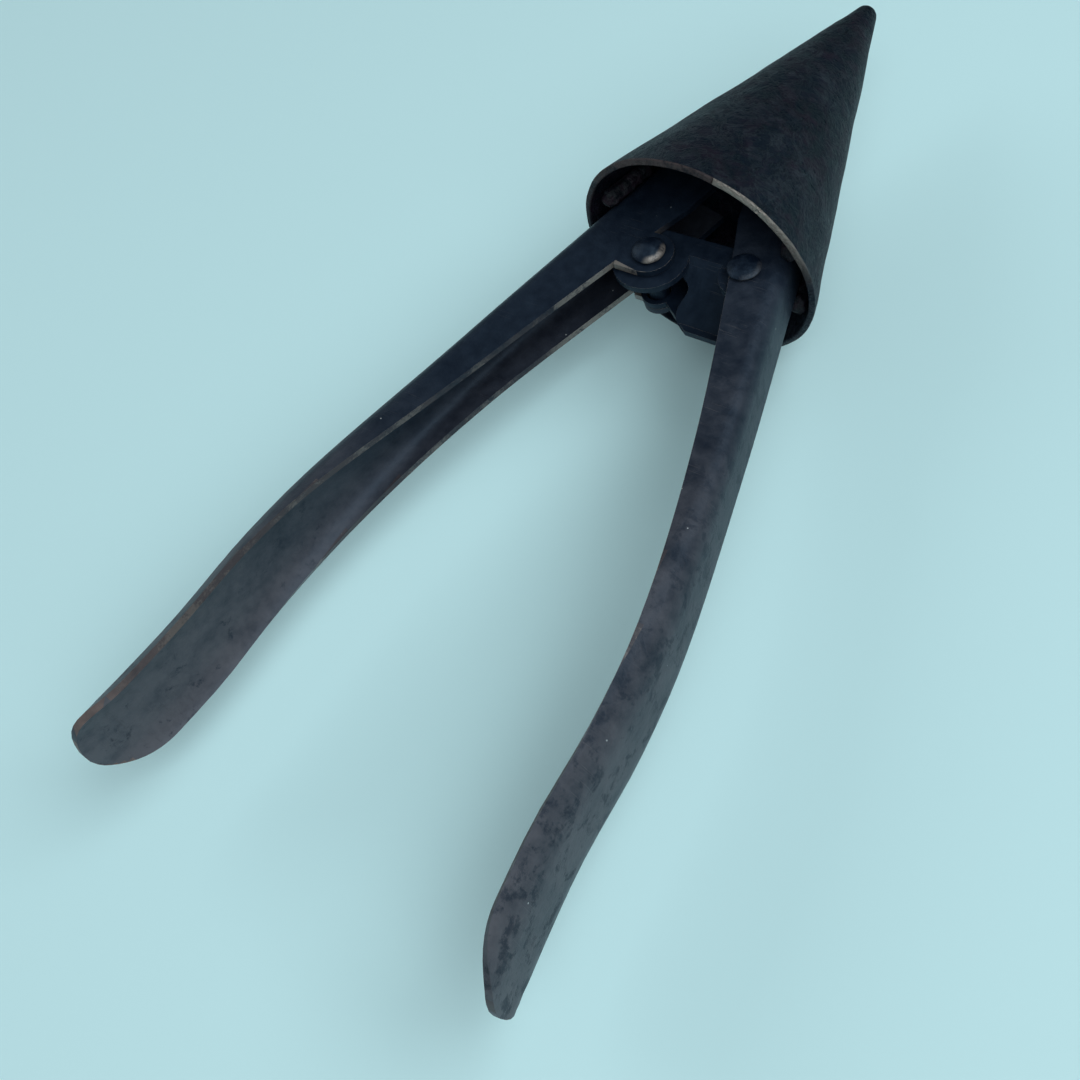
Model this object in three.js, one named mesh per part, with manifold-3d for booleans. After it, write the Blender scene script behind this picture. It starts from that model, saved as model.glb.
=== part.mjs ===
// Hand tool of pressed sheet steel: a hollow cone split lengthwise into two half shells,
// each welded to its own channel-section handle. Each handle swings on its own rivet in a
// small U bracket, so squeezing the handles opens the cone at its point.
// Every piece is drawn with the origin at the centre of the cone's mouth, X along the cone's
// axis to its point, Y to the left handle and Z up. The finished tool is then moved so that
// its origin is under its middle, on the surface that it lies on. Millimetres.
import * as THREE from 'three';
import { mergeVertices } from 'three/addons/utils/BufferGeometryUtils.js';
import Module from 'manifold-3d';

const wasm = await Module();
wasm.setup();

// Sheet and clearances
const SHEET = 1.2;
const GAP = 0.3;

// Cone
const MOUTH_RADIUS = 22.5;
const APEX_X = 70.4; // where the cone's sides would meet
const TIP_RADIUS = 2.1; // the rounded point
const SEAM_OFFSET = 6.5; // the seam lies this far towards the right handle at the mouth
const CONE_SEGMENTS = 72;

// Handles: the outer face of the left one's web, seen from above
const HANDLE_LINE = new THREE.SplineCurve([
  new THREE.Vector2(17, 13.7),
  new THREE.Vector2(-8, 20.4),
  new THREE.Vector2(-33, 27.1),
  new THREE.Vector2(-62, 33.9),
  new THREE.Vector2(-81, 36.5),
  new THREE.Vector2(-101, 37.3),
  new THREE.Vector2(-123.4, 40.4),
]);
const HANDLE_LENGTH = HANDLE_LINE.getLength();
const ROOT_HALF_WIDTH = 6.2; // of the web at the rivets
const GRIP_HALF_WIDTH = 11.4; // of the web at the free end, before it is dished
const DEEP_FLANGE = { root: 13, grip: 4.1 }; // web's outer face to the flange's free edge
const SHALLOW_FLANGE = { root: 10.6, grip: 2.6 };
const CORNER_SHARE = { root: 0.5, grip: 0.62 }; // corner radius as a share of the half width
const WIDENING = [48, 125]; // distances from the inner end between which the web widens
const FLANGE_LOWERING = [10, 112]; // and between which the flanges get lower
const ROUNDING = [30, 120]; // and between which the corners get rounder
const TONGUE = 12; // length of the rounded free end
const STATIONS = 42; // along a handle
const TONGUE_STATIONS = 12;
const CORNER_STEPS = 4; // round each corner

// Rivets and the bracket that they join
const LEFT_PIVOT = new THREE.Vector2(-6, 4.9);
const RIGHT_PIVOT = new THREE.Vector2(-3.5, -12);
const RIVET_RADIUS = 1.9;
const UPPER_HEAD = { radius: 2.9, height: 1.7 };
const LOWER_HEAD = { radius: 2.5, height: 1.2 }; // the end that is hammered over
const UPPER_EAR = { radius: 4.3, neck: 8.6 };
const LOWER_EAR = { radius: 3, neck: 4.3 };
const EAR_REACH = 4.6; // from the rivet out to the flange
const UPPER_LOBE_RADIUS = 6.6; // of the bracket's upper plate round the left rivet
const LOWER_LOBE_RADIUS = 3.1;
const RIGHT_LOBE_RADIUS = 4.6;
const UPPER_FOLD = { x: -3, left: -1.1, right: -7.3 }; // where the web meets the upper plate
const LOWER_FOLD = { x: -12.2, left: -3.8, right: -11 };
// The web's left edge, as distances across and shares of the way up to the upper plate
const WEB_EDGE = [[-3.8, 0], [-1.5, 0.14], [-1.2, 0.32], [-2.3, 0.6], [0.4, 0.78], [0.6, 1]];
const WEB_TOP_RIGHT = -9.4;
const WEB_EDGE_STEPS = 20;
const BRACKET_HALF_WIDTH = ROOT_HALF_WIDTH - SHEET - GAP;

// Weld beads between the handles' corners and the cone's inner wall
const BEAD_RADIUS = 1.9;
const BEAD_START = 2.5;
const BEAD_END = 10;
const BEAD_LIFT = 0.4; // of a bead's centre above the flange

const worn = new THREE.MeshStandardMaterial({ color: 0x23262d, roughness: 0.55, metalness: 0.7 });
const browned = new THREE.MeshStandardMaterial({ color: 0x2b2729, roughness: 0.6, metalness: 0.7 });
const bright = new THREE.MeshStandardMaterial({ color: 0x3a3735, roughness: 0.5, metalness: 0.8 });

const tool = new THREE.Group();

// --- helpers -------------------------------------------------------------------------

function solid(geometry) {
  const bare = geometry.clone();
  bare.deleteAttribute('normal');
  bare.deleteAttribute('uv');
  const merged = mergeVertices(bare, 1e-4);
  return new wasm.Manifold(new wasm.Mesh({
    numProp: 3,
    vertProperties: merged.attributes.position.array,
    triVerts: new Uint32Array(merged.index.array),
  }));
}

function addPiece(name, shape, material) {
  const mesh = shape.getMesh();
  const geometry = new THREE.BufferGeometry();
  geometry.setAttribute('position', new THREE.BufferAttribute(mesh.vertProperties, 3));
  geometry.setIndex(new THREE.BufferAttribute(mesh.triVerts, 1));
  geometry.computeVertexNormals();
  const piece = new THREE.Mesh(geometry, material.clone());
  piece.name = name;
  tool.add(piece);
}

// An upright cylinder at a place seen from above, between two heights
function upright(place, radius, bottom, top, segments = 32) {
  const geometry = new THREE.CylinderGeometry(radius, radius, top - bottom, segments);
  geometry.rotateX(Math.PI / 2);
  geometry.translate(place.x, place.y, (top + bottom) / 2);
  return solid(geometry);
}

// A solid turned about the X axis from points (radius, x)
function turned(profile) {
  const geometry = new THREE.LatheGeometry(profile, CONE_SEGMENTS);
  geometry.rotateZ(-Math.PI / 2);
  return solid(geometry);
}

const mix = THREE.MathUtils.lerp;
const ease = THREE.MathUtils.smoothstep;

// --- cone ----------------------------------------------------------------------------

const coneSlope = MOUTH_RADIUS / APEX_X;
const coneAngle = Math.atan(coneSlope);
const wallAcross = SHEET / Math.cos(coneAngle); // the sheet measured square to the axis

// Rounded point of one surface of the cone, from its side round to the axis
function tipArc(apexX, radius) {
  const centreX = apexX - radius / Math.sin(coneAngle);
  const arc = new THREE.EllipseCurve(0, centreX, radius, radius, coneAngle, Math.PI / 2);
  const points = arc.getPoints(4);
  points[points.length - 1].x = 0;
  return points;
}

function coneShell() {
  const innerApexX = APEX_X - wallAcross / coneSlope;
  const outer = [new THREE.Vector2(MOUTH_RADIUS, 0), ...tipArc(APEX_X, TIP_RADIUS)];
  const inner = [
    ...tipArc(innerApexX, TIP_RADIUS - SHEET).reverse(),
    new THREE.Vector2(MOUTH_RADIUS - wallAcross, 0),
  ];
  return turned([...outer, ...inner, outer[0].clone()]);
}

// Everything on one side of the seam, which leans from the point to its offset at the mouth
function besideSeam(side) {
  const size = 4 * MOUTH_RADIUS + APEX_X;
  const geometry = new THREE.BoxGeometry(2 * size, size, size);
  geometry.translate(0, side * (size + GAP) / 2, 0);
  geometry.rotateZ(Math.atan(SEAM_OFFSET / APEX_X));
  geometry.translate(APEX_X, 0, 0);
  return solid(geometry);
}

const shell = coneShell();
addPiece('left_half_cone', shell.intersect(besideSeam(1)), browned);
addPiece('right_half_cone', shell.intersect(besideSeam(-1)), browned);

// --- handles -------------------------------------------------------------------------

// Sizes of the pressed section at a distance from the handle's inner end
function sectionAt(distance, flangeSizes) {
  const widening = ease(distance, ...WIDENING);
  const lowering = THREE.MathUtils.mapLinear(distance, ...FLANGE_LOWERING, 0, 1);
  const lowered = THREE.MathUtils.clamp(lowering, 0, 1) ** 0.75;
  const halfWidth = mix(ROOT_HALF_WIDTH, GRIP_HALF_WIDTH, widening);
  const corner = halfWidth
    * mix(CORNER_SHARE.root, CORNER_SHARE.grip, ease(distance, ...ROUNDING));
  const flange = mix(flangeSizes.root, flangeSizes.grip, lowered);
  const blank = halfWidth + flange - (2 - Math.PI / 2) * corner;
  const beyond = Math.max(0, distance - (HANDLE_LENGTH - TONGUE)) / TONGUE;
  const narrowed = Math.sqrt(1 - Math.min(beyond, 0.996) ** 2);
  return { halfWidth, corner, blank, halfBlank: blank * narrowed };
}

// A point of the pressed section: how far across, and how deep inwards from the web's face.
// 'along' is measured on the outer face from the web's middle, 'inwards' through the sheet.
function sectionPoint({ halfWidth, corner }, along, inwards) {
  const flat = halfWidth - corner;
  const run = Math.abs(along);
  const turn = THREE.MathUtils.clamp((run - flat) / corner, 0, Math.PI / 2);
  const straight = Math.max(0, run - flat - corner * Math.PI / 2);
  const radius = corner - inwards;
  const across = Math.min(run, flat) + radius * Math.sin(turn);
  return {
    across: Math.sign(along) * across,
    depth: corner - radius * Math.cos(turn) + straight,
  };
}

// Distances from the inner end of the handle at which its section is placed
function stationDistance(index) {
  const body = STATIONS - TONGUE_STATIONS;
  if (index <= body) return (HANDLE_LENGTH - TONGUE) * index / body;
  const turn = (index - body) / TONGUE_STATIONS * Math.PI / 2;
  return HANDLE_LENGTH - TONGUE + TONGUE * Math.sin(turn);
}

// Where the columns of points lie across half of the blank, as parts of its half width
function columnFraction(section, column) {
  const flat = section.halfWidth - section.corner;
  const arc = section.corner * Math.PI / 2;
  const step = Math.abs(column);
  const run = step === 0 ? 0
    : step <= CORNER_STEPS + 1 ? flat + arc * (step - 1) / CORNER_STEPS
      : section.blank;
  return Math.sign(column) * Math.min(1, run / section.blank);
}

// The handle pressed from a flat blank, as the left one lies, with its deep flange upwards.
// 'grown' thickens it on every side.
function pressedHandle(grown = 0) {
  const halfColumns = CORNER_STEPS + 2;
  const geometry = new THREE.BoxGeometry(1, 1, 1, STATIONS, 2 * halfColumns, 1);
  const position = geometry.attributes.position;
  for (let i = 0; i < position.count; i += 1) {
    const distance = stationDistance(Math.round((position.getX(i) + 0.5) * STATIONS));
    const column = Math.round(position.getY(i) * 2 * halfColumns);
    const section = sectionAt(distance, column > 0 ? DEEP_FLANGE : SHALLOW_FLANGE);
    const along = columnFraction(section, column) * (section.halfBlank + grown);
    const inwards = position.getZ(i) > 0 ? -grown : SHEET + grown;
    const { across, depth } = sectionPoint(section, along, inwards);
    const place = HANDLE_LINE.getPointAt(distance / HANDLE_LENGTH);
    const heading = HANDLE_LINE.getTangentAt(distance / HANDLE_LENGTH);
    position.setXYZ(i, place.x - heading.y * depth, place.y + heading.x * depth, across);
  }
  return geometry;
}

function holes(place) {
  return upright(place, RIVET_RADIUS + GAP, -2 * ROOT_HALF_WIDTH, 2 * ROOT_HALF_WIDTH);
}

// A rounded ear that carries a flange out to the rivet
function ear(place, size, bottom) {
  const neck = new THREE.BoxGeometry(size.neck, EAR_REACH, SHEET);
  neck.translate(
    place.x + size.radius - size.neck / 2, place.y + EAR_REACH / 2, bottom + SHEET / 2);
  return upright(place, size.radius, bottom, bottom + SHEET).add(solid(neck));
}

// The right handle is the same pressing turned over
const leftHandle = solid(pressedHandle())
  .add(ear(LEFT_PIVOT, UPPER_EAR, ROOT_HALF_WIDTH - SHEET))
  .add(ear(LEFT_PIVOT, LOWER_EAR, -ROOT_HALF_WIDTH))
  .subtract(holes(LEFT_PIVOT));
const rightHandle = solid(pressedHandle().rotateX(Math.PI)).subtract(holes(RIGHT_PIVOT));
addPiece('left_handle', leftHandle, worn);
addPiece('right_handle', rightHandle, worn);

// --- bracket -------------------------------------------------------------------------

// One plate: a lobe round each rivet, and a straight fold between them
function bracketPlate(bottom, leftRadius, fold) {
  const outline = new THREE.Shape();
  outline.moveTo(LEFT_PIVOT.x + leftRadius, LEFT_PIVOT.y);
  outline.absarc(LEFT_PIVOT.x, LEFT_PIVOT.y, leftRadius, 0,
    Math.atan2(fold.left - LEFT_PIVOT.y, fold.x - LEFT_PIVOT.x) + 2 * Math.PI);
  outline.lineTo(fold.x, fold.left);
  outline.lineTo(fold.x, fold.right);
  outline.absarc(RIGHT_PIVOT.x, RIGHT_PIVOT.y, RIGHT_LOBE_RADIUS,
    Math.atan2(fold.right - RIGHT_PIVOT.y, fold.x - RIGHT_PIVOT.x), 2 * Math.PI);
  const geometry = new THREE.ExtrudeGeometry(outline, {
    depth: SHEET, bevelEnabled: false, curveSegments: 20,
  });
  geometry.translate(0, 0, bottom);
  return solid(geometry);
}

// The web that joins the two plates: it slopes back, and its left edge is notched
function bracketWeb() {
  const rise = 2 * BRACKET_HALF_WIDTH;
  const run = UPPER_FOLD.x - LOWER_FOLD.x;
  const length = Math.hypot(rise, run);
  const edge = new THREE.SplineCurve(
    WEB_EDGE.map(([across, share]) => new THREE.Vector2(across, share * length)));
  const outline = new THREE.Shape([
    ...edge.getPoints(WEB_EDGE_STEPS),
    new THREE.Vector2(WEB_TOP_RIGHT, length),
    new THREE.Vector2(LOWER_FOLD.right, 0),
  ]);
  const geometry = new THREE.ExtrudeGeometry(outline, { depth: SHEET, bevelEnabled: false });
  const up = new THREE.Vector3(run, 0, rise).normalize();
  const across = new THREE.Vector3(0, 1, 0);
  geometry.applyMatrix4(new THREE.Matrix4().makeBasis(
    across, up, new THREE.Vector3().crossVectors(across, up)));
  geometry.translate(LOWER_FOLD.x, 0, -BRACKET_HALF_WIDTH);
  const between = new THREE.BoxGeometry(MOUTH_RADIUS, MOUTH_RADIUS, rise);
  between.translate(LOWER_FOLD.x, LOWER_FOLD.right, 0);
  return solid(geometry).intersect(solid(between));
}

const bracket = bracketPlate(BRACKET_HALF_WIDTH - SHEET, UPPER_LOBE_RADIUS, UPPER_FOLD)
  .add(bracketPlate(-BRACKET_HALF_WIDTH, LOWER_LOBE_RADIUS, LOWER_FOLD))
  .add(bracketWeb())
  .subtract(holes(LEFT_PIVOT))
  .subtract(holes(RIGHT_PIVOT));
addPiece('pivot_bracket', bracket, worn);

// --- rivets --------------------------------------------------------------------------

// Shank with a domed head at each end
function headProfile(head) {
  const seat = ROOT_HALF_WIDTH + GAP;
  const domeRadius = (head.radius ** 2 + head.height ** 2) / (2 * head.height);
  const spread = Math.asin(head.radius / domeRadius);
  const dome = new THREE.EllipseCurve(
    0, seat + head.height - domeRadius, domeRadius, domeRadius,
    Math.PI / 2 - spread, Math.PI / 2).getPoints(4);
  dome[dome.length - 1].x = 0;
  return [new THREE.Vector2(RIVET_RADIUS, seat), ...dome];
}

function rivet(place) {
  const upper = headProfile(UPPER_HEAD);
  const lower = headProfile(LOWER_HEAD)
    .map((point) => new THREE.Vector2(point.x, -point.y)).reverse();
  const geometry = new THREE.LatheGeometry([...lower, ...upper], 28);
  geometry.rotateX(Math.PI / 2);
  geometry.translate(place.x, place.y, 0);
  return solid(geometry);
}

addPiece('left_pivot_rivet', rivet(LEFT_PIVOT), bright);
addPiece('right_pivot_rivet', rivet(RIGHT_PIVOT), bright);

// --- weld beads ----------------------------------------------------------------------

// The room inside the cone's wall, less the usual gap
function insideCone() {
  const radius = MOUTH_RADIUS - wallAcross - GAP;
  return turned([
    new THREE.Vector2(0, 0),
    new THREE.Vector2(radius, 0),
    new THREE.Vector2(0, radius / coneSlope),
  ]);
}

// A run of weld along the left handle's upper or lower corner
function weldBead(end) {
  const [inner, outer] = HANDLE_LINE.points;
  const corner = (x) => new THREE.Vector3(
    x,
    THREE.MathUtils.mapLinear(x, inner.x, outer.x, inner.y, outer.y),
    end * (ROOT_HALF_WIDTH + BEAD_LIFT));
  const from = corner(BEAD_START);
  const to = corner(BEAD_END);
  const geometry = new THREE.CapsuleGeometry(BEAD_RADIUS, from.distanceTo(to), 4, 10);
  geometry.applyQuaternion(new THREE.Quaternion().setFromUnitVectors(
    new THREE.Vector3(0, 1, 0), to.clone().sub(from).normalize()));
  geometry.translate(...from.clone().add(to).multiplyScalar(0.5).toArray());
  return geometry;
}

const room = insideCone();
for (const [level, end] of [['upper', 1], ['lower', -1]]) {
  const left = solid(weldBead(end)).intersect(room).subtract(solid(pressedHandle(GAP)));
  addPiece(`left_${level}_weld`, left, bright);
  const right = solid(weldBead(-end).rotateX(Math.PI)).intersect(room)
    .subtract(solid(pressedHandle(GAP).rotateX(Math.PI)));
  addPiece(`right_${level}_weld`, right, bright);
}

const extent = new THREE.Box3().setFromObject(tool);
const middle = extent.getCenter(new THREE.Vector3());
tool.position.set(-middle.x, -middle.y, -extent.min.z);

export default tool;
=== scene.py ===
import math

import bpy
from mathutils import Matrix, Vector


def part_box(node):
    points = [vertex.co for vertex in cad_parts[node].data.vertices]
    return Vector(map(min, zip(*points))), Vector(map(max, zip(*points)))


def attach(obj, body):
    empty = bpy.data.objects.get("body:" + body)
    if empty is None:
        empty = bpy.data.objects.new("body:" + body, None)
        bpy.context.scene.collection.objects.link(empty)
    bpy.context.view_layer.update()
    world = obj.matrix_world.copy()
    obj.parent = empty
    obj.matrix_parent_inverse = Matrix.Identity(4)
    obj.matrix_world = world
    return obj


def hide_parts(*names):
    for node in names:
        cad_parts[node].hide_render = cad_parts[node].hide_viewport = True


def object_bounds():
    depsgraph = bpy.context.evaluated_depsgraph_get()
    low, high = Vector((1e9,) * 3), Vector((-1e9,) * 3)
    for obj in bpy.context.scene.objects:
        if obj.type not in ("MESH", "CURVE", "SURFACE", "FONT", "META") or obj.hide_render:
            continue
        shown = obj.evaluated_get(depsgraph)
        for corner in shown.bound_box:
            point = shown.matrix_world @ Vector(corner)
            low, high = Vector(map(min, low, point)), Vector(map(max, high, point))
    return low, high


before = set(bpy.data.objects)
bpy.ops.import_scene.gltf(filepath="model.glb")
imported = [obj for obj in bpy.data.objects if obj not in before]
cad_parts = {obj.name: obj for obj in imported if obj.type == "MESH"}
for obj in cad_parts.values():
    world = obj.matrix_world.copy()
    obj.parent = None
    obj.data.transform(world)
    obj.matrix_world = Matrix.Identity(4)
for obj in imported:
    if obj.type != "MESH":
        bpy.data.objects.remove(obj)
cad_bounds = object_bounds()

# --- The two handles --------------------------------------------------------------------
# Each one is pressed from a 1.2 mm steel blank into a channel, with a deep flange on one
# side and a shallow one on the other. The left one carries two ears that are drilled for
# its rivet. Both were blacked all over, and hands have rubbed the edges. The grips are
# painted lighter, partly a haze of handling and partly painted light. The left one is also
# painted lighter low down, as painted light, and the edges by the pivot carry a painted
# highlight.

MM = 0.001


class Wire:
    """An output in a finish, so that its maths is written as ordinary arithmetic."""

    def __init__(self, finish, socket):
        self.finish = finish
        self.socket = socket

    def math(self, operation, *values):
        return self.finish.node('ShaderNodeMath', {'operation': operation},
                                dict(enumerate(values)))

    def __add__(self, other):
        return self.math('ADD', self, other)

    def __sub__(self, other):
        return self.math('SUBTRACT', self, other)

    def __rsub__(self, other):
        return self.math('SUBTRACT', other, self)

    def __mul__(self, other):
        return self.math('MULTIPLY', self, other)

    __radd__ = __add__
    __rmul__ = __mul__

    def rising(self, low, high):
        """0 below low and 1 above high, and the other way round where high is the lower."""
        return self.finish.node(
            'ShaderNodeMapRange', {'interpolation_type': 'SMOOTHSTEP'},
            {'Value': self, 'From Min': low, 'From Max': high})


class Finish:
    """A surface finish, made of nodes."""

    def __init__(self, name):
        self.material = bpy.data.materials.new(name)
        self.material.use_nodes = True
        self.tree = self.material.node_tree
        self.shader = self.tree.nodes['Principled BSDF']

    def node(self, kind, settings=None, sockets=None, output=0):
        made = self.tree.nodes.new(kind)
        for setting, value in (settings or {}).items():
            setattr(made, setting, value)
        self.fill(made, sockets or {})
        return Wire(self, made.outputs[output])

    def fill(self, made, sockets):
        for socket, value in sockets.items():
            if isinstance(value, Wire):
                self.tree.links.new(value.socket, made.inputs[socket])
            else:
                made.inputs[socket].default_value = value

    def place(self, stretch=(1, 1, 1), turn=(0, 0, 0)):
        """Where a point is on the piece, drawn out along an axis by a small stretch value."""
        here = self.node('ShaderNodeTexCoord', output='Object')
        return self.node('ShaderNodeMapping', None,
                         {'Vector': here, 'Scale': stretch, 'Rotation': turn})

    def coordinate(self, axis):
        """How far along X (0) or Z (2) a point is."""
        return self.node('ShaderNodeSeparateXYZ', None, {0: self.place()}, axis)

    def cloud(self, size, detail=4, roughness=0.55, distortion=0):
        """Soft noise with features of about a size in millimetres."""
        return self.node('ShaderNodeTexNoise', None, {
            'Vector': self.place(), 'Scale': 1 / (size * MM), 'Detail': detail,
            'Roughness': roughness, 'Distortion': distortion})

    def cells(self, size, output, vector=None):
        """A cell pattern with cells of about a size in millimetres."""
        return self.node('ShaderNodeTexVoronoi', None, {
            'Vector': vector or self.place(), 'Scale': 1 / (size * MM)}, output)

    def mixed(self, share, first, second):
        """A colour that goes from the first to the second as share goes from 0 to 1."""
        first = first if isinstance(first, Wire) else (*first, 1)
        second = second if isinstance(second, Wire) else (*second, 1)
        return self.node('ShaderNodeMix', {'data_type': 'RGBA'},
                         {0: share, 6: first, 7: second}, output=2)

    def speckles(self, apart, size, share):
        """1 on small round specks, about 'apart' mm from each other, in a share of places."""
        chosen = self.node('ShaderNodeSeparateColor', None,
                           {0: self.cells(apart, 'Color')})
        near = self.cells(apart, 'Distance') + self.cloud(0.6) * 0.02
        return near.rising(size / apart + 0.013, size / apart + 0.007) * chosen.rising(
            1 - share, 1.001 - share)

    def scratches(self, turn, width, length, amount):
        """Fine straight marks that all run roughly one way."""
        drawn = self.place((1 / width, 1 / length, 1 / length), turn)
        lines = self.node('ShaderNodeTexNoise', None, {
            'Vector': drawn, 'Scale': 1 / MM, 'Detail': 2, 'Roughness': 0.6})
        return lines.rising(1 - amount, 1.03 - amount) * self.cloud(14).rising(0.48, 0.62)

    def finished(self, height, depth, **sockets):
        """Puts the values on the shader, and bump of a depth in millimetres under them."""
        self.fill(self.shader, {name.replace('_', ' '): value
                                for name, value in sockets.items()})
        bump = self.node('ShaderNodeBump', None, {
            'Height': height, 'Strength': 1, 'Distance': depth * MM})
        self.fill(self.shader, {'Normal': bump})
        return self.material


BLACKED = (0.0022, 0.0054, 0.0135)
BLACKED_PALE = (0.0105, 0.0175, 0.031)
# The haze of handling. The same colour is also painted light, which makes the grips and the
# low parts lighter.
HAZE_AND_PAINTED_LIGHT = (0.112, 0.104, 0.113)
BROWNED = (0.062, 0.046, 0.044)
# Bare steel of rubbed edges. The same colour also paints highlights on the cone's rim, the
# ears and the rivet heads.
BARE_STEEL_AND_HIGHLIGHT = (0.30, 0.26, 0.23)
COPPERY = (0.26, 0.168, 0.14)
CHIP_WHITE = (0.70, 0.72, 0.72)
BLUED_GLOSS = (0.56, 0.77, 1, 1)  # blacking reflects bluish
RUBBING_END = 31  # the X in mm, just inside the cone's mouth, where rubbing stops
RUBBING_FADE = 8  # over how many mm it grows from there
PIVOT_HIGHLIGHT_SPAN = (2, 14)  # the X in mm between which the edges are painted brighter, a painted highlight near the pivot


def blacked_steel(name, haze_and_light_from, haze_and_light_to, rubbed, low_painted_light=0, worn=1):
    """Blacked sheet steel. A haze of handling, and painted light with it, grows from one X to
    another, in mm.
    rubbed is how far the blacking is gone, from 0 on the faces to 1 on bared edges. Near the
    pivot, the bared edges also carry a painted highlight.
    The fifth argument is how much lighter the steel is painted lower down, a painted light,
    and worn is how spotted the steel is."""
    finish = Finish(name)
    along = finish.coordinate(0)
    level = finish.coordinate(2)
    blotch = finish.cloud(9, 5, 0.6)
    mottle = finish.cloud(2.2, 4, 0.62)
    grain = finish.cloud(0.45, 3, 0.6)
    # Lighter towards the grips: partly a haze of handling, partly painted light.
    grip_wear_and_light = along.rising(haze_and_light_from * MM, haze_and_light_to * MM)
    uneven = (blotch - 0.5) * 1.1 + (mottle - 0.5) * 0.7
    haze_and_painted_light = (grip_wear_and_light * (0.55 + uneven) + grip_wear_and_light * 0.2 + uneven * 0.12).rising(0, 1)
    # Painted light: the steel is painted lighter lower down, from 27 mm high to 15 mm.
    painted_low_light = level.rising(27 * MM, 15 * MM) * (0.7 + uneven) * low_painted_light
    spot_at = 0.60 - 0.06 * worn
    dark_spots = finish.cloud(3.4, 6, 0.72, 0.25).rising(spot_at, spot_at + 0.13)
    dark_spots = dark_spots * (0.35 + grip_wear_and_light * 0.65)
    marks = finish.scratches((0, 0, 0.5), 0.16, 9, 0.33)
    marks = marks + finish.scratches((0.2, 0, -0.75), 0.14, 7, 0.33)
    specks = finish.speckles(9, 0.5, 0.45)
    dust = finish.speckles(3.1, 0.13, 0.3)

    colour = finish.mixed((blotch * 0.6 + mottle * 0.6).rising(0.35, 0.9),
                          BLACKED, BLACKED_PALE)
    colour = finish.mixed(haze_and_painted_light * 0.78, colour, HAZE_AND_PAINTED_LIGHT)
    # The painted light low down.
    colour = finish.mixed(painted_low_light, colour, HAZE_AND_PAINTED_LIGHT)
    colour = finish.mixed(dark_spots * 0.7, colour, BLACKED)
    rough = 0.34 + blotch * 0.12 + mottle * 0.16 + grain * 0.08 + dark_spots * 0.08
    metal = 0.05
    if rubbed:
        rubbed = along.rising(RUBBING_END * MM, (RUBBING_END - RUBBING_FADE) * MM) * rubbed
        browned = (blotch * 0.7 + mottle * 0.5 + grip_wear_and_light * 0.3).rising(0.38, 0.8)
        # A painted highlight: near the pivot the bared edges are painted brighter, as on the
        # ear's lower rim.
        pivot_painted_highlight = along.rising(PIVOT_HIGHLIGHT_SPAN[0] * MM, PIVOT_HIGHLIGHT_SPAN[1] * MM)
        bare = finish.cloud(7, 4) + (grain - 0.5) * 0.4 + pivot_painted_highlight * 0.22
        bare = bare.rising(0.50, 0.68)
        coppery = along.rising((haze_and_light_to + 25) * MM, (haze_and_light_to - 8) * MM)
        colour = finish.mixed(browned * rubbed, colour, BROWNED)
        colour = finish.mixed(bare * (pivot_painted_highlight * 0.55 + 0.45) * rubbed, colour, BARE_STEEL_AND_HIGHLIGHT)
        colour = finish.mixed(coppery * (mottle * 1.5 - 0.2) * rubbed, colour, COPPERY)
        rough = rough - bare * 0.08
        metal = metal + bare * 0.35
    colour = finish.mixed(marks * (0.35 * worn), colour, HAZE_AND_PAINTED_LIGHT)
    colour = finish.mixed(dust * 0.5, colour, CHIP_WHITE)
    colour = finish.mixed(specks, colour, CHIP_WHITE)
    height = blotch * 0.9 + mottle * 0.22 + grain * 0.07 + specks * 0.3 - marks * 0.07
    return finish.finished(height - dark_spots * 0.10, 0.35, Base_Color=colour,
                           Roughness=rough, Metallic=metal, Specular_IOR_Level=0.4,
                           Specular_Tint=BLUED_GLOSS)


def joined_copy(node, name):
    """A copy of a CAD node whose loose triangles are joined into one skin."""
    bpy.ops.object.select_all(action='DESELECT')
    piece = bpy.data.objects.new(name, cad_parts[node].data.copy())
    piece.data.materials.clear()
    bpy.context.scene.collection.objects.link(piece)
    piece.select_set(True)
    bpy.context.view_layer.objects.active = piece
    bpy.ops.object.mode_set(mode='EDIT')
    bpy.ops.mesh.select_all(action='SELECT')
    bpy.ops.mesh.remove_doubles(threshold=0.01 * MM)
    bpy.ops.mesh.tris_convert_to_quads(
        face_threshold=math.radians(4), shape_threshold=math.radians(60))
    bpy.ops.mesh.normals_make_consistent(inside=False)
    bpy.ops.object.mode_set(mode='OBJECT')
    return piece


SHARP_FOLD = math.radians(40)  # an edge that folds more than this is a sharp one
SMOOTH_FOLD = math.radians(38)  # and one that folds less than this is shaded smoothly
NARROW_WIDTH = 1.4  # mm, a little over the thickness of the sheet
SHARP_SHARE = 0.42  # at least this much of a sheared face's outline is sharp


def mark_sharp_edges(piece, up_to, rim_rubbed):
    """Marks the sharp edges, as far as one X, for easing. Where a rim is rubbed, the narrow
    faces between two sharp edges get the second finish."""
    faces_at = {}
    for face in piece.data.polygons:
        for key in face.edge_keys:
            faces_at.setdefault(key, []).append(face)
    points = piece.data.vertices
    folded = {key for key, pair in faces_at.items()
              if len(pair) == 2 and pair[0].normal.angle(pair[1].normal, 0) > SHARP_FOLD}
    for face in piece.data.polygons:
        sharp = around = 0
        for key in face.edge_keys:
            length = (points[key[0]].co - points[key[1]].co).length
            around += length
            sharp += length if key in folded else 0
        # A long narrow face has an area of its width times half its outline.
        narrow = face.area < NARROW_WIDTH / 2 * MM * around
        sheared = narrow and sharp > SHARP_SHARE * around
        face.material_index = 1 if rim_rubbed and sheared else 0
    easing = piece.data.attributes.new('bevel_weight_edge', 'FLOAT', 'EDGE')
    for edge in piece.data.edges:
        ends = [points[index].co.x for index in edge.vertices]
        if edge.key in folded and max(ends) < up_to:
            easing.data[edge.index].value = 1


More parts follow.
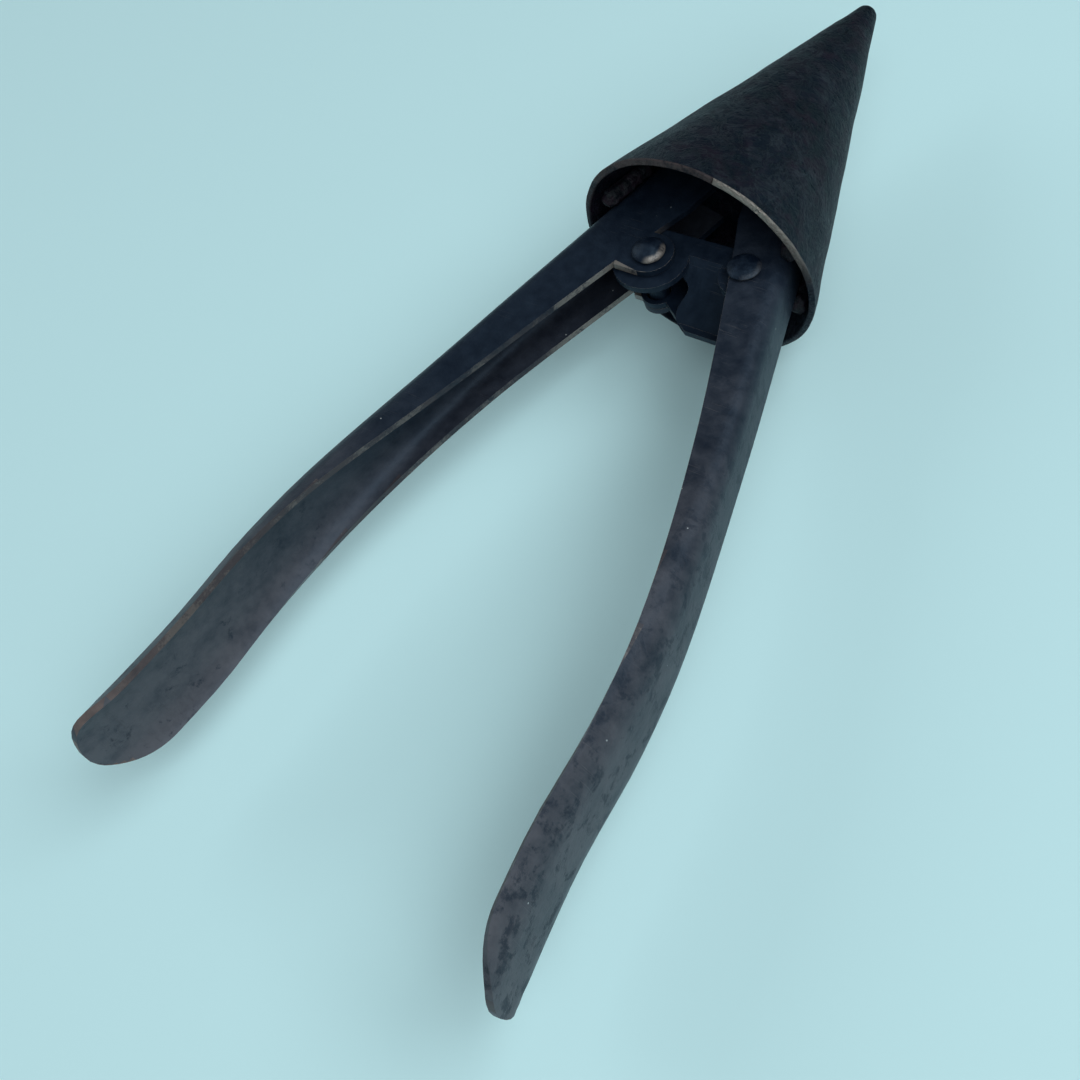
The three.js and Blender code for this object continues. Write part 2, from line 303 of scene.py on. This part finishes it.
def apply_modifier(piece, kind, **settings):
    modifier = piece.modifiers.new(kind.title(), kind)
    for setting, value in settings.items():
        setattr(modifier, setting, value)
    bpy.ops.object.select_all(action='DESELECT')
    piece.select_set(True)
    bpy.context.view_layer.objects.active = piece
    bpy.ops.object.modifier_apply(modifier=modifier.name)


def ease_edges(piece, width, finishes, up_to=math.inf, rim_rubbed=False):
    """Rounds the sheet's sharp edges a little, as far as one X, and shades the piece
    smoothly. The first finish goes on its faces, and the second on the rounded edges."""
    for material in finishes:
        piece.data.materials.append(material)
    mark_sharp_edges(piece, up_to, rim_rubbed)
    apply_modifier(piece, 'BEVEL', width=width * MM, segments=3, limit_method='WEIGHT',
                   use_clamp_overlap=True, material=1)
    bpy.ops.object.shade_smooth_by_angle(angle=SMOOTH_FOLD)
    apply_modifier(piece, 'WEIGHTED_NORMAL', keep_sharp=True, weight=60)


EDGE_EASING = 0.3  # mm, on the cone's rim as well
EDGE_RUBBING = 0.8

# After each side come the X in mm where the grip's haze and painted light start and end, how
# much painted light lies low down, and how spotted the steel is.
for side, hazed_and_lit_from, hazed_and_lit_to, low_painted_light, worn in (
        ('left', 5, -92, 0.24, 0.6), ('right', 85, -112, 0, 1.7)):
    node = side + '_handle'
    handle = joined_copy(node, side + '_pressed_handle')
    face_finish = blacked_steel('blacked_' + node + '_steel', hazed_and_lit_from, hazed_and_lit_to, 0,
                                low_painted_light, worn)
    edge_finish = blacked_steel('rubbed_' + node + '_edges', hazed_and_lit_from, hazed_and_lit_to,
                                EDGE_RUBBING)
    ease_edges(handle, EDGE_EASING, [face_finish, edge_finish], rim_rubbed=True)
    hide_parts(node)
    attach(handle, side + '_lever')

# --- The cone ---------------------------------------------------------------------------
# Two halves of a cone that is raised from the same sheet and split lengthwise. The seam
# leans, so the left half is the larger. The steel is pitted and browned from fires, and
# use has rubbed the rim bright, most of all on the right half. The rim's bright steel is
# also a painted highlight, which grows towards its top.

# Sizes in mm.
SHEET = 1.2
CONE_LENGTH = 70.4  # from the mouth to where the sides would meet
CONE_TIP_RADIUS = 2.1
SEAM_LEAN = 6.5  # how far the seam is off the axis at the mouth
CONE_SIDES = 120
SIDE_STEPS = 30
TIP_STEPS = 6
SEAM_CLEARANCE = 0.01  # each half stays this far off the seam
RIM_DEPTH = 0.8  # how far in from the mouth the rim's rubbing goes
RIM_RUBBED_AND_HIGHLIT = (23, 40)  # the heights between which the rim's rubbing and painted highlight grow
PURPLE_BROWN = (0.0115, 0.0050, 0.0120)
SOOT = (0.0004, 0.0030, 0.0066)
ASH = (0.034, 0.042, 0.050)


def pitted_steel(name, bare_and_highlight_share, rubbed):
    """Fire-blackened sheet, pitted and mottled. On a rim, rubbed is 1, and the second
    argument is how much of it shows bright steel, rubbed steel that is also a painted
    highlight."""
    finish = Finish(name)
    patch = finish.cloud(11, 5, 0.62, 0.4)
    mottle = finish.cloud(3, 5, 0.66, 0.5)
    grain = finish.cloud(0.5, 3, 0.65)
    bend = finish.cloud(5.5, 6, 0.7, 1.4) - 0.5
    creases = (bend * bend).rising(0.0035, 0)
    pits = finish.cells(1.5, 'Distance', finish.place(turn=(0.4, 0.9, 0.2)))
    pits = pits.rising(0.30, 0.12) * finish.cloud(4, 3).rising(0.46, 0.6)
    ash = (patch * 0.55 + mottle * 0.55 + grain * 0.12 + creases * 0.08).rising(0.64, 0.82)
    specks = finish.speckles(12, 0.28, 0.25)

    colour = finish.mixed(mottle.rising(0.38, 0.66), SOOT, PURPLE_BROWN)
    colour = finish.mixed(patch.rising(0.40, 0.62) * 0.5, colour, BLACKED)
    colour = finish.mixed(ash * 0.45, colour, ASH)
    colour = finish.mixed(pits * 0.7, colour, SOOT)
    rough = 0.36 + mottle * 0.24 + grain * 0.12 + pits * 0.1 - creases * 0.06
    metal = 0.03
    if rubbed:
        level = finish.coordinate(2)
        # Rubbing, with a painted highlight, grows towards the top of the rim.
        rubbed = level.rising(RIM_RUBBED_AND_HIGHLIT[0] * MM, RIM_RUBBED_AND_HIGHLIT[1] * MM) * rubbed
        browned = (mottle * 0.8 + grain * 0.3).rising(0.36, 0.60)
        bare_from = 0.90 - 0.42 * bare_and_highlight_share
        bare = (patch * 0.6 + mottle * 0.5 + grain * 0.2).rising(
            bare_from, bare_from + 0.14)
        colour = finish.mixed(browned * rubbed, colour, BROWNED)
        colour = finish.mixed(bare * rubbed, colour, BARE_STEEL_AND_HIGHLIGHT)
        rough = rough - bare * 0.16
        metal = metal + bare * rubbed * 0.6
    colour = finish.mixed(specks, colour, CHIP_WHITE)
    height = patch * 0.8 + mottle * 0.6 + grain * 0.15 - pits * 0.3 + creases * 0.2
    return finish.finished(height, 0.7, Base_Color=colour, Roughness=rough,
                           Metallic=metal, Specular_IOR_Level=0.17,
                           Specular_Tint=BLUED_GLOSS)


def raised_rings(name, centre, along_x, rings, sides):
    """A skin raised ring by ring about an axis, from pairs of distance and radius in mm."""
    axis = Vector((1, 0, 0)) if along_x else Vector((0, 0, 1))
    reached, radius = rings[0]
    bpy.ops.object.select_all(action='DESELECT')
    bpy.ops.mesh.primitive_circle_add(
        vertices=sides, radius=radius * MM, location=centre + axis * reached * MM,
        rotation=(0, math.pi / 2 if along_x else 0, 0))
    skin = bpy.context.object
    skin.name = name
    bpy.ops.object.transform_apply(location=True, rotation=True, scale=True)
    bpy.ops.object.mode_set(mode='EDIT')
    bpy.ops.mesh.select_mode(type='EDGE')
    bpy.ops.mesh.select_all(action='SELECT')
    for distance, wanted in rings[1:]:
        bpy.ops.mesh.extrude_edges_move(
            TRANSFORM_OT_translate={'value': axis * (distance - reached) * MM})
        growth = wanted / radius
        bpy.ops.transform.resize(
            value=(1, growth, growth) if along_x else (growth, growth, 1),
            center_override=centre + axis * distance * MM)
        reached, radius = distance, wanted
    return skin


def displaced(piece, size, depth):
    """Uneven hammering or melt, with lumps of a size and a depth in millimetres. They go
    inwards rather more than outwards."""
    lumps = bpy.data.textures.new(piece.name + '_lumps', 'CLOUDS')
    lumps.noise_scale = size * MM
    lumps.noise_depth = 2
    apply_modifier(piece, 'DISPLACE', texture=lumps, strength=depth * MM, mid_level=0.57)


low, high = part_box('left_half_cone')
mouth_radius = (high.z - low.z) / 2
mouth = Vector((low.x, high.y - mouth_radius, low.z + mouth_radius))
cone_slope = mouth_radius / (CONE_LENGTH * MM)
cone_angle = math.atan(cone_slope)
tip_centre = CONE_LENGTH - CONE_TIP_RADIUS / math.sin(cone_angle)
side_end = tip_centre + CONE_TIP_RADIUS * math.sin(cone_angle)
rings = []
for step in range(SIDE_STEPS + 1):
    distance = side_end * step / SIDE_STEPS
    rings.append((distance, (CONE_LENGTH - distance) * cone_slope))
for step in range(1, TIP_STEPS + 1):
    turn = cone_angle + (math.pi / 2 - cone_angle) * step / TIP_STEPS
    rings.append((tip_centre + CONE_TIP_RADIUS * math.sin(turn),
                  max(0.01, CONE_TIP_RADIUS * math.cos(turn))))
cone = raised_rings('whole_cone', mouth, True, rings, CONE_SIDES)
bpy.ops.mesh.merge(type='CENTER')
bpy.ops.mesh.select_all(action='SELECT')
bpy.ops.mesh.normals_make_consistent(inside=False)
bpy.ops.object.mode_set(mode='OBJECT')
displaced(cone, 9, 0.5)

seam_across = Vector((-SEAM_LEAN, CONE_LENGTH, 0)).normalized()
seam_point = mouth - Vector((0, SEAM_LEAN * MM, 0))
rim_end = mouth.x + RIM_DEPTH * MM
cone_finish = pitted_steel('pitted_cone_steel', 0, 0)
for side, keep_left, bare_and_highlight_share in (('left', True, 0.35), ('right', False, 1)):
    half = bpy.data.objects.new(side + '_cone_half', cone.data.copy())
    bpy.context.scene.collection.objects.link(half)
    bpy.ops.object.select_all(action='DESELECT')
    half.select_set(True)
    bpy.context.view_layer.objects.active = half
    bpy.ops.object.mode_set(mode='EDIT')
    bpy.ops.mesh.select_all(action='SELECT')
    clearance = SEAM_CLEARANCE * MM if keep_left else -SEAM_CLEARANCE * MM
    bpy.ops.mesh.bisect(plane_co=seam_point + seam_across * clearance, plane_no=seam_across,
                        clear_inner=keep_left, clear_outer=not keep_left)
    bpy.ops.object.mode_set(mode='OBJECT')
    apply_modifier(half, 'SOLIDIFY', thickness=SHEET * MM, offset=-1, use_even_offset=True)
    rim_finish = pitted_steel(side + '_cone_rim', bare_and_highlight_share, 1)
    ease_edges(half, EDGE_EASING, [cone_finish, rim_finish], rim_end, True)
    # Past the rim, the long edges of the seam aren't rubbed.
    for face in half.data.polygons:
        if face.center.x > rim_end:
            face.material_index = 0
    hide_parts(side + '_half_cone')
    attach(half, side + '_lever')
bpy.data.objects.remove(cone)

# --- The weld beads ---------------------------------------------------------------------
# Four short runs of weld hold the cone's halves to the corners of the handles. They are
# lumpy and blackened like the rest, with pale specks on them.


def weld_metal():
    finish = Finish('blackened_weld_metal')
    lump = finish.cloud(1.6, 4, 0.65)
    grain = finish.cloud(0.3, 3, 0.7)
    colour = finish.mixed(lump.rising(0.4, 0.65), SOOT, PURPLE_BROWN)
    colour = finish.mixed(grain.rising(0.55, 0.72) * 0.35, colour, ASH)
    colour = finish.mixed(finish.speckles(2.2, 0.16, 0.35), colour, CHIP_WHITE)
    return finish.finished(lump + grain * 0.4, 0.3, Base_Color=colour,
                           Roughness=0.42 + grain * 0.3, Metallic=0.1 + lump * 0.15,
                           Specular_IOR_Level=0.35)


BEAD_GRAIN = 0.25  # mm, the size of a bead's facets

weld_finish = weld_metal()
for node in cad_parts:
    if not node.endswith('_weld'):
        continue
    bead = joined_copy(node, node + '_bead')
    bead.data.remesh_voxel_size = BEAD_GRAIN * MM
    bpy.ops.object.voxel_remesh()
    displaced(bead, 1.1, 0.9)
    apply_modifier(bead, 'SMOOTH', factor=0.5, iterations=2)
    bpy.ops.object.shade_smooth()
    bead.data.materials.append(weld_finish)
    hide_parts(node)
    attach(bead, node.split('_')[0] + '_lever')

# --- The bracket ------------------------------------------------------------------------
# One pressing with an upper and a lower plate and a sloping web between them, whose left
# edge is notched. It sits inside both channels, and a rivet holds each handle to it.

UNHAZED_UNLIT = (-200, -300)  # X in mm, far past the grips, so that the haze and the painted light never start
BRACKET_EASING = 0.35  # mm

bracket = joined_copy('pivot_bracket', 'pivot_bracket_pressing')
# Its eased edges get rubbed, bare steel, which also stands as a painted highlight along the
# plates' folded edges.
ease_edges(bracket, BRACKET_EASING, [
    blacked_steel('blacked_bracket_steel', *UNHAZED_UNLIT, 0),
    blacked_steel('rubbed_bracket_edges', *UNHAZED_UNLIT, 1)])
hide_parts('pivot_bracket')
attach(bracket, 'bracket')

# --- The rivets -------------------------------------------------------------------------
# Two soft steel rivets go down through handle, bracket and handle. Each has a domed head on
# top, with a painted highlight of bare steel on its rim, and is hammered over below into a
# smaller head. The right one's head is flatter, and its painted highlight is faint.

HEAD_HEIGHT = 1.7  # mm, where the dome is full
FOOT_HEIGHT = 1.2
SHANK_RADIUS = 1.9
RIVET_SIDES = 48
RIVET_SMOOTH_FOLD = math.radians(50)
TOWARDS_PAINTED_HIGHLIGHT = (-0.3, -0.95, 0)


def rivet_steel(name, axis, rubbed):
    """Blacked rivet steel. rubbed is how strong the painted highlight is: bare steel painted
    on the head's rim, on the side that faces the right handle's grip."""
    finish = Finish(name)
    mottle = finish.cloud(1.5, 4, 0.62)
    grain = finish.cloud(0.35, 3, 0.6)
    out = finish.node('ShaderNodeVectorMath', {'operation': 'SUBTRACT'},
                      {0: finish.place(), 1: axis})
    level_out = finish.node('ShaderNodeVectorMath', {'operation': 'MULTIPLY'},
                            {0: out, 1: (1, 1, 0)})
    away = finish.node('ShaderNodeVectorMath', {'operation': 'LENGTH'}, {0: level_out}, 1)
    ahead = finish.node('ShaderNodeVectorMath', {'operation': 'DOT_PRODUCT'},
                        {0: out, 1: TOWARDS_PAINTED_HIGHLIGHT}, 1)
    # The painted highlight grows with the distance from the rivet's axis, all round and
    # ahead.
    bare = away.rising(1.9 * MM, 2.5 * MM) * ahead.rising(0.9 * MM, 2.1 * MM) * rubbed
    bare = bare * (mottle * 0.7 + grain * 0.5).rising(0.35, 0.65)
    colour = finish.mixed(mottle.rising(0.38, 0.66), BLACKED, BLACKED_PALE)
    colour = finish.mixed(grain.rising(0.6, 0.75) * 0.3, colour, BROWNED)
    colour = finish.mixed(bare, colour, BARE_STEEL_AND_HIGHLIGHT)
    return finish.finished(mottle + grain * 0.25, 0.16, Base_Color=colour,
                           Roughness=0.32 + mottle * 0.2 + grain * 0.1,
                           Metallic=0.05 + bare * 0.5, Specular_IOR_Level=0.4,
                           Specular_Tint=BLUED_GLOSS)


for side, dome, rim_painted_highlight in (('left', 1, 0.9), ('right', 0.6, 0.1)):
    node = side + '_pivot_rivet'
    low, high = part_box(node)
    middle = (low + high) / 2
    top = (high.z - middle.z) / MM
    foot = (low.z - middle.z) / MM
    head = (high.x - low.x) / 2 / MM
    seat_up = top - HEAD_HEIGHT
    seat_down = foot + FOOT_HEIGHT
    # Heights and radii in mm, up the foot, the shank and the head.
    rings = [(foot, 0.3), (foot + 0.06, 1.1), (foot + 0.3, 1.8), (foot + 0.7, 2.3),
             (seat_down - 0.2, 2.5), (seat_down, 2.4), (seat_down, SHANK_RADIUS),
             (seat_up, SHANK_RADIUS)]
    rings += [(seat_up + rise * dome, radius) for rise, radius in (
        (0, head - 0.15), (0.12, head - 0.03), (0.3, head), (0.55, head - 0.1),
        (0.9, head - 0.5), (1.2, head - 1), (1.42, head - 1.5), (1.6, head - 2),
        (HEAD_HEIGHT, 0.4))]
    rivet = raised_rings(side + '_rivet', middle, False, rings, RIVET_SIDES)
    bpy.ops.mesh.select_all(action='SELECT')
    bpy.ops.mesh.fill_holes(sides=0)
    bpy.ops.mesh.select_all(action='SELECT')
    bpy.ops.mesh.normals_make_consistent(inside=False)
    bpy.ops.object.mode_set(mode='OBJECT')
    displaced(rivet, 1.3, 0.14)
    bpy.ops.object.shade_smooth_by_angle(angle=RIVET_SMOOTH_FOLD)
    rivet.data.materials.append(
        rivet_steel('blacked_' + side + '_rivet_steel', middle, rim_painted_highlight))
    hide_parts(node)
    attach(rivet, 'bracket')

# --- The floor, the light and the camera ------------------------------------------------
# A plain pale floor under the lowest point of the tool, two large soft lamps above the
# right handle's side, and a weak one above the other side. The camera looks down from
# above the right grip, turned so that the cone points up and to the right.

FLOOR_GAP = 0.2  # mm under the lowest point

bpy.ops.object.select_all(action='DESELECT')
bpy.ops.mesh.primitive_plane_add(
    size=8, location=(0, 0, cad_bounds[0][2] - FLOOR_GAP * MM))
floor = bpy.context.object
floor.name = 'floor'
floor_finish = Finish('pale_floor')
floor_finish.fill(floor_finish.shader,
                  {'Base Color': (0.66, 0.91, 0.92, 1), 'Roughness': 0.9})
floor.data.materials.append(floor_finish.material)

world = bpy.data.worlds.new('studio')
bpy.context.scene.world = world
world.use_nodes = True
sky = world.node_tree.nodes['Background']
sky.inputs['Color'].default_value = (0.78, 0.93, 1, 1)
sky.inputs['Strength'].default_value = 0.13


def lamp(name, place, aim, size, power):
    """A square soft lamp. The place, aim and size are in metres, and the power in watts."""
    bpy.ops.object.light_add(type='AREA', location=place)
    light = bpy.context.object
    light.name = name
    light.data.size = size
    light.data.energy = power
    light.data.color = (0.86, 0.955, 1)
    light.rotation_euler = (Vector(aim) - Vector(place)).to_track_quat('-Z', 'Y').to_euler()


lamp('side_softbox', (-0.45, -0.6, 0.9), (-0.04, 0, 0.02), 0.9, 6.5)
lamp('front_softbox', (0.4, -0.6, 0.95), (0, 0, 0.02), 0.8, 6)
lamp('back_softbox', (-0.1, 0.95, 0.6), (-0.03, 0, 0.02), 0.8, 2.6)

bpy.ops.object.camera_add(location=(-0.1076, -0.1098, 0.2091))
camera = bpy.context.object
looking_along = Vector((0.3395, 0.4591, -0.8210))
camera.rotation_euler = looking_along.to_track_quat('-Z', 'Y').to_euler()
camera.rotation_euler.rotate_axis('Z', math.radians(-24.5))
camera.data.lens = 48.5
camera.data.sensor_width = 36
camera.data.clip_start = 0.01
bpy.context.scene.camera = camera
bpy.context.scene.view_settings.view_transform = 'Standard'
